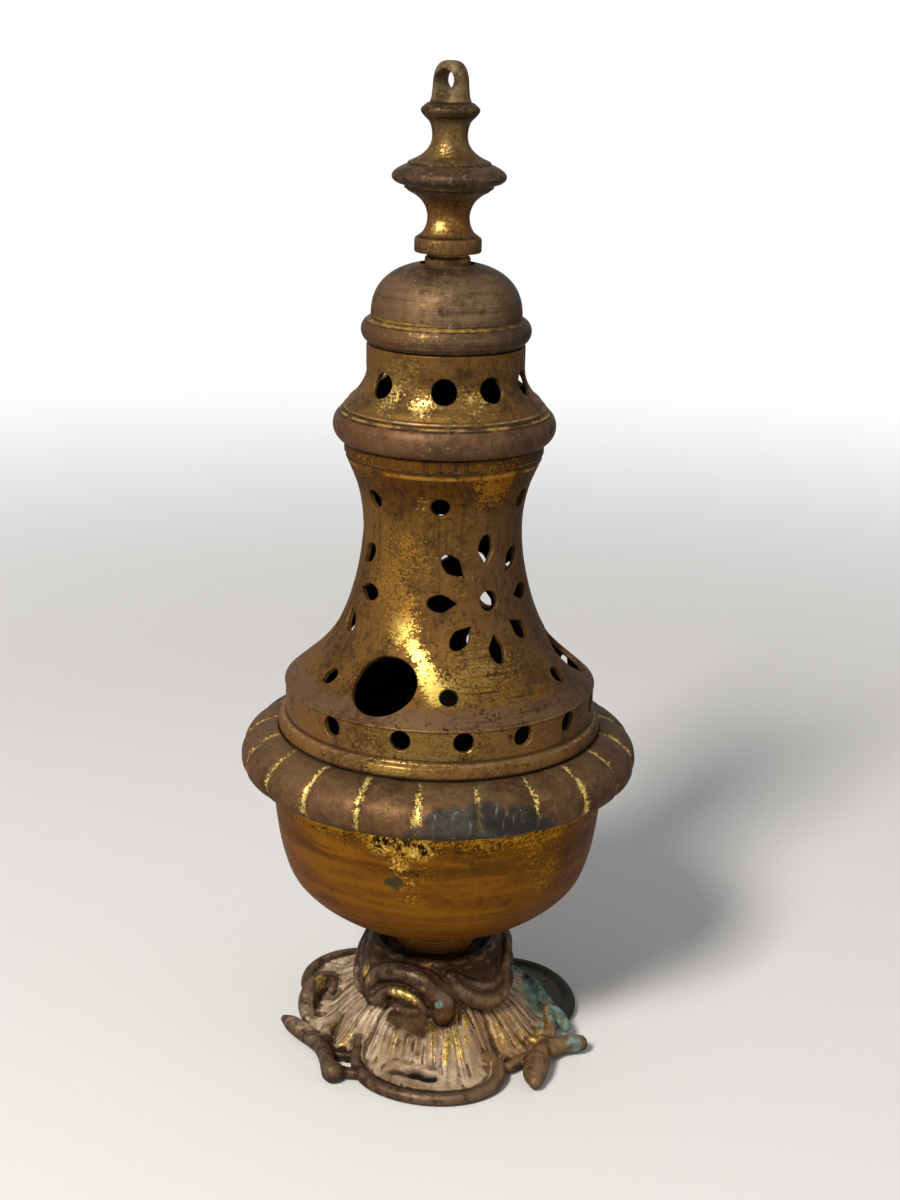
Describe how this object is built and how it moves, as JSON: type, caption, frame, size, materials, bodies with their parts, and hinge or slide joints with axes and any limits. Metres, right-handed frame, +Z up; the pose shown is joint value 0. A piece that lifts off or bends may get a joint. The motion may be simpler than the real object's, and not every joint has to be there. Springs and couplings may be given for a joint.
{
  "type": "thurible",
  "caption": "Gilt brass censer on a cast foot: round bowl with a lobed rim, loose fire pan, and a tall pierced cover with a turned finial and chain eye. The cover lifts off.",
  "frame": {"origin": "under the foot, on the axis of bowl and cover, on the surface it stands on", "axes": "+Z up along the axis, -Y towards the viewer of the picture, +X to the viewer's right"},
  "size_m": [0.101, 0.101, 0.2499],
  "materials": {
    "cast_bronze": "cast, grey-brown with gilding left in the hollows and green in places",
    "plain_brass": "turned, dull",
    "brown_bronze": "turned, brown, satin",
    "bowl_gilt": "spun and gilt, amber, satin",
    "worn_gilt": "spun and gilt, worn and speckled",
    "sooty_iron": "sheet iron, black with soot",
    "finial_bronze": "turned, olive brown with fine lathe lines"
  },
  "bodies": {
    "base": {"foot_casting": "cast_bronze", "foot_nut": "plain_brass", "foot_washer": "plain_brass", "tie_bolt": "plain_brass", "stem_boss": "brown_bronze", "bowl": "bowl_gilt", "gadroon_rim": "brown_bronze"},
    "cover": {"cover_bell": "worn_gilt", "turret": "worn_gilt", "dome_cap": "brown_bronze", "dome_washer": "plain_brass", "finial_spacer": "plain_brass", "finial_nut": "plain_brass", "finial": "finial_bronze"},
    "pan": {"fire_pan": "sooty_iron"}
  },
  "joints": [
    {"name": "cover_lift", "type": "slide", "parent": "base", "child": "cover", "axis": [0, 0, 1], "range_m": [0, 0.15]},
    {"name": "fire_pan_lift", "type": "slide", "parent": "base", "child": "pan", "axis": [0, 0, 1], "range_m": [0, 0.06]}
  ],
  "couplings": [
    {"joint": "fire_pan_lift", "follows": "cover_lift", "ratio": 0.4}
  ]
}
